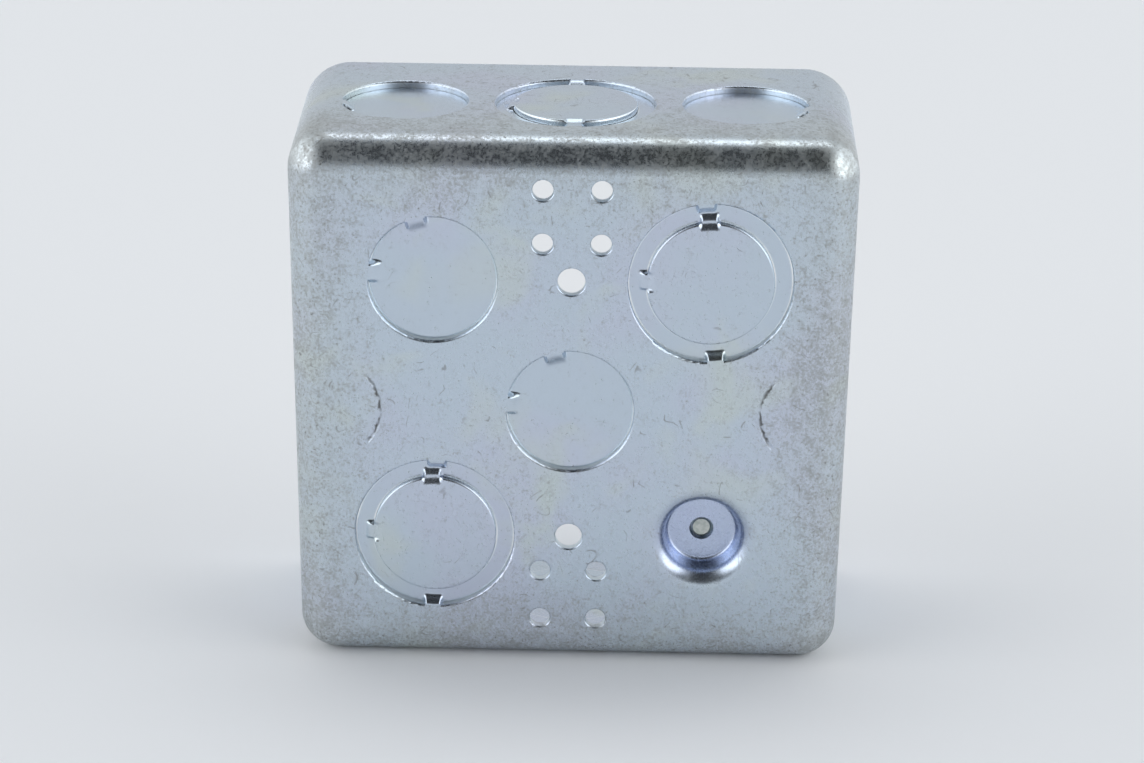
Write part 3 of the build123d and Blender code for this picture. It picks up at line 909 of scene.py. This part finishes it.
class JUNCTION_OT_ring_discs(bpy.types.Operator):
    """Make the discs inside the rings, level with the wall, with rolled edges"""

    bl_idname = "junction.ring_discs"
    bl_label = "Ring discs"

    def execute(self, context):
        cut = context.scene.junction_knockouts
        material = zinc("disc_zinc_plate", context.scene.junction_zinc, **DISC_FINISH)
        for seat in RING_SEATS:
            node = disc_of(seat[: -len(SEAT)])
            place = wall_frame(MOUNTS[seat])
            rim = small_hole() - cut.disc_gap
            ties = tie_angles(node, place, rim)
            angles = ring_of_angles(ties)
            radii = DISC_STEPS[:, None] * np.full_like(angles, rim)[None, :]
            strip = across_ties(radii, angles, ties, cut.ring_tie, cut.shoulder)
            into = np.clip(radii - (rim - cut.edge_roll), 0.0, cut.edge_roll)
            roll = cut.edge_roll - np.sqrt(cut.edge_roll**2 - into**2)
            top = -roll * (1.0 - strip)
            inset, size = DISC_PIT
            tear = DISC_TEAR * cut.tear
            top -= tear * shear_ends(radii, angles, ties, cut.ring_tie, rim - inset, size)
            top -= cut.pull * strip * smooth(rim - cut.pull_run, rim, radii)
            grids = pressed_sheet(place, radii, angles, top, cut.sheet)
            wear = worn_rim(grids, place, [rim], DISC_WEAR, ties)
            piece = solid(f"{node}_pressed", grids, {"worn_rim": wear})
            dress(piece, "disc_zinc", material, node, node)
        return {"FINISHED"}


def disc_of(ring):
    """Name of the disc inside a ring."""
    wall, _, end = ring.partition("_ring")
    return f"{wall}_ring_disc{end}"


def small_hole():
    """Radius of a small knockout's hole, which is also the inside of every ring."""
    return MOUNTS[SLUG_SEATS[0]]["dims"]["r_mm"] * MM


def around(radius, level, angles):
    """Points at a radius and a level round the axis w."""
    level = np.broadcast_to(level, np.broadcast(radius, angles).shape)
    return np.stack([radius * np.cos(angles), radius * np.sin(angles), level], axis=-1)


def threaded(low, high, major, minor, pitch, point):
    """Shank along +w from low to high: the root's radius plus a triangle wave of the phase
    w / pitch - angle / 2 pi, cut flat at crest and root, and narrowed over the pointed end at low."""
    turns = (high - low) / pitch
    levels = np.linspace(low, high, int(turns * LEVELS_A_TURN) + 1)
    angles = np.linspace(0.0, 2 * math.pi, SHANK_SIDES, endpoint=False)
    phase = (levels[:, None] / pitch - angles[None, :] / (2 * math.pi)) % 1.0
    wave = np.clip(FLANK_SLOPE * np.abs(2.0 * phase - 1.0) - FLANK_SHIFT, 0.0, 1.0)
    grow = smooth(low, low + point, levels)[:, None]
    radius = minor * (POINT_ROOT + (1.0 - POINT_ROOT) * grow) + (major - minor) * wave * grow
    body = around(radius, levels[:, None], angles)
    ends = [np.zeros((1, len(angles), 3)) for _ in range(2)]
    ends[0][..., 2] = low + POINT_START * point
    ends[1][..., 2] = high
    return np.concatenate([ends[0], body, ends[1]])


def slotted_head(half_chord, height, widest, base, slot_width, slot_depth):
    """Head over rows of chords: for each distance s across, points lie at plus and minus the outline's
    half_chord(s), and stand height(x, s) over base. Rows at the slot's edges are doubled, one at each
    level, so its walls are upright."""
    half = slot_width / 2
    side = half + (widest - half) * np.sin(np.linspace(0.0, math.pi / 2, HEAD_ROWS))
    middle = np.linspace(-half, half, SLOT_ROWS)
    across = np.concatenate([-side[::-1], middle, side])
    sunk = np.concatenate([np.zeros(HEAD_ROWS), np.ones(SLOT_ROWS), np.zeros(HEAD_ROWS)])
    chord = np.maximum(half_chord(np.abs(across)), 0.0)
    along = np.sin(np.linspace(-math.pi / 2, math.pi / 2, CHORD_POINTS))[None, :] * chord[:, None]
    s = np.broadcast_to(across[:, None], along.shape)
    lift = height(along, s)
    lift = np.where(sunk[:, None] > 0, np.minimum(lift, height(0.0, 0.0) - slot_depth), lift)
    upper = np.stack([along, s, base + lift], axis=-1)
    lower = upper + 0.0
    lower[..., 2] = base
    walls = [np.stack([upper[:, edge], lower[:, edge]]) for edge in (0, -1)]
    return [upper, lower[::-1], walls[0], walls[1][::-1]]


def screw_place(node):
    """Frame along a screw's axis, with w = 0 at its point, the low end of its box in y, and its length."""
    low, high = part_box(node)
    centre = np.array([(low.x + high.x) / 2, low.y, (low.z + high.z) / 2])
    return (centre, np.array([[1.0, 0.0, 0.0], [0.0, 0.0, -1.0], [0.0, 1.0, 0.0]])), high.y - low.y


def revolved(profile):
    """Closed surface of revolution about w from (radius, w) pairs that start and end on the axis."""
    angles = np.linspace(0.0, 2 * math.pi, ROUND_SIDES, endpoint=False)
    return around(profile[:, 0:1], profile[:, 1:2], angles)


class JUNCTION_OT_cover_screws(bpy.types.Operator):
    """Make the two slotted pan-head cover screws"""

    bl_idname = "junction.cover_screws"
    bl_label = "Cover screws"

    def execute(self, context):
        cut = context.scene.junction_screws
        material = zinc("cover_screw_plate", context.scene.junction_zinc, **SCREW_FINISH)
        thread = (cut.cover_major, cut.cover_minor, cut.cover_pitch, COVER_POINT)
        for node in COVER_SCREWS:
            place, tall = screw_place(node)
            base = tall - PAN_HEIGHT
            grids = slotted_head(self.outline, self.crown, PAN_RADIUS, base, cut.slot_width, cut.slot_depth)
            shank = threaded(0.0, base + IN_HEAD, *thread)
            piece = screw(f"{node}_threaded", place, grids, [shank])
            dress(piece, "cover_screw_zinc", material, node, node)
        return {"FINISHED"}

    def outline(self, s):
        """Half of the chord of a circle at a distance s from its middle."""
        return np.sqrt(np.clip(PAN_RADIUS**2 - s**2, 0.0, None))

    def crown(self, x, s):
        """Flat top with a round edge."""
        into = np.clip(np.hypot(x, s) - (PAN_RADIUS - PAN_ROUND), 0.0, PAN_ROUND)
        return PAN_HEIGHT - (PAN_ROUND - np.sqrt(PAN_ROUND**2 - into**2))


class JUNCTION_OT_ground_screw(bpy.types.Operator):
    """Make the slotted hex-head ground screw in the raised ground"""

    bl_idname = "junction.ground_screw"
    bl_label = "Ground screw"

    def execute(self, context):
        cut = context.scene.junction_screws
        node = "ground_screw"
        place, tall = screw_place(node)
        base = tall - HEX_HEIGHT - WASHER_HEIGHT
        on_washer = base + WASHER_HEIGHT
        slot = (cut.slot_width, cut.slot_depth)
        grids = slotted_head(self.outline, self.crown, HEX_FLATS / 2, on_washer, *slot)
        flange = np.array([
            [0.0, 0.0],
            [WASHER_RADIUS - WASHER_FOOT, 0.0],
            [WASHER_RADIUS, WASHER_LOW],
            [WASHER_RADIUS, WASHER_HIGH],
            [WASHER_RADIUS - WASHER_TOP, WASHER_HEIGHT],
            [0.0, WASHER_HEIGHT],
        ])
        flange[:, 1] += base
        thread = (cut.ground_major, cut.ground_minor, cut.ground_pitch, GROUND_POINT)
        shank = threaded(0.0, base + IN_HEAD, *thread)
        piece = screw(f"{node}_threaded", place, grids, [shank, revolved(flange)])
        dress(piece, "ground_screw_steel", self.finish(), node, node)
        return {"FINISHED"}

    def outline(self, s):
        """Half of the chord of a hexagon at a distance s from the line through two of its corners."""
        return np.where(s < HEX_FLATS / 2, HEX_CORNER - s / math.sqrt(3), 0.0)

    def crown(self, x, s):
        """Flat top whose corners are turned off."""
        over = np.hypot(x, s) - CHAMFER_START * HEX_CORNER
        return HEX_HEIGHT - np.clip(over, 0.0, None) * CHAMFER_SLOPE

    def finish(self):
        """Green dye over zinc, worn to grey."""
        material, graph = new_material("dyed_zinc")
        coordinates = graph.node("ShaderNodeTexCoord").outputs["Object"]
        wear = graph.noise(coordinates, *DYE)
        tone = graph.mix(graph.ramp(wear, *DYE_SPAN), rgba(DYED), rgba(UNDYED))
        roughness = graph.ramp(wear, *DYE_DULL_SPAN, *DYE_ROUGHNESS)
        bump = graph.bump(wear, DYE_DEPTH)
        graph.surface(Base_Color=tone, Metallic=1.0, Roughness=roughness, Normal=bump)
        return material


def screw(name, place, head, closed):
    """Screw from its head's grids, and further grids that wrap round and close on themselves."""
    grids = [(placed(grid, place), False) for grid in head]
    grids += [(placed(grid, place), True) for grid in closed]
    return solid(name, grids)


class JUNCTION_PT_panel(bpy.types.Panel):
    """Panel with every step and its settings"""

    bl_label = "Junction Box"
    bl_idname = "JUNCTION_PT_panel"
    bl_space_type = "VIEW_3D"
    bl_region_type = "UI"
    bl_category = "Junction Box"

    def draw(self, context):
        for step in STEPS:
            self.layout.operator(step.bl_idname)
        for name, group in SETTINGS.items():
            box = self.layout.box()
            for key in group.__annotations__:
                box.prop(getattr(context.scene, name), key)


SETTINGS = {
    "junction_stage": StageSettings,
    "junction_zinc": ZincSettings,
    "junction_knockouts": KnockoutSettings,
    "junction_screws": ScrewSettings,
}
STEPS = (
    JUNCTION_OT_stage,
    JUNCTION_OT_shell,
    JUNCTION_OT_slugs,
    JUNCTION_OT_rings,
    JUNCTION_OT_ring_discs,
    JUNCTION_OT_cover_screws,
    JUNCTION_OT_ground_screw,
)


def register():
    for cls in (*SETTINGS.values(), *STEPS, JUNCTION_PT_panel):
        bpy.utils.register_class(cls)
    for name, group in SETTINGS.items():
        setattr(bpy.types.Scene, name, bpy.props.PointerProperty(type=group))


def unregister():
    for name in SETTINGS:
        delattr(bpy.types.Scene, name)
    for cls in reversed((*SETTINGS.values(), *STEPS, JUNCTION_PT_panel)):
        bpy.utils.unregister_class(cls)


def main():
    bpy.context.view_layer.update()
    register()
    for step in STEPS:
        group, operator = step.bl_idname.split(".")
        getattr(getattr(bpy.ops, group), operator)()


if __name__ == "__main__":
    main()
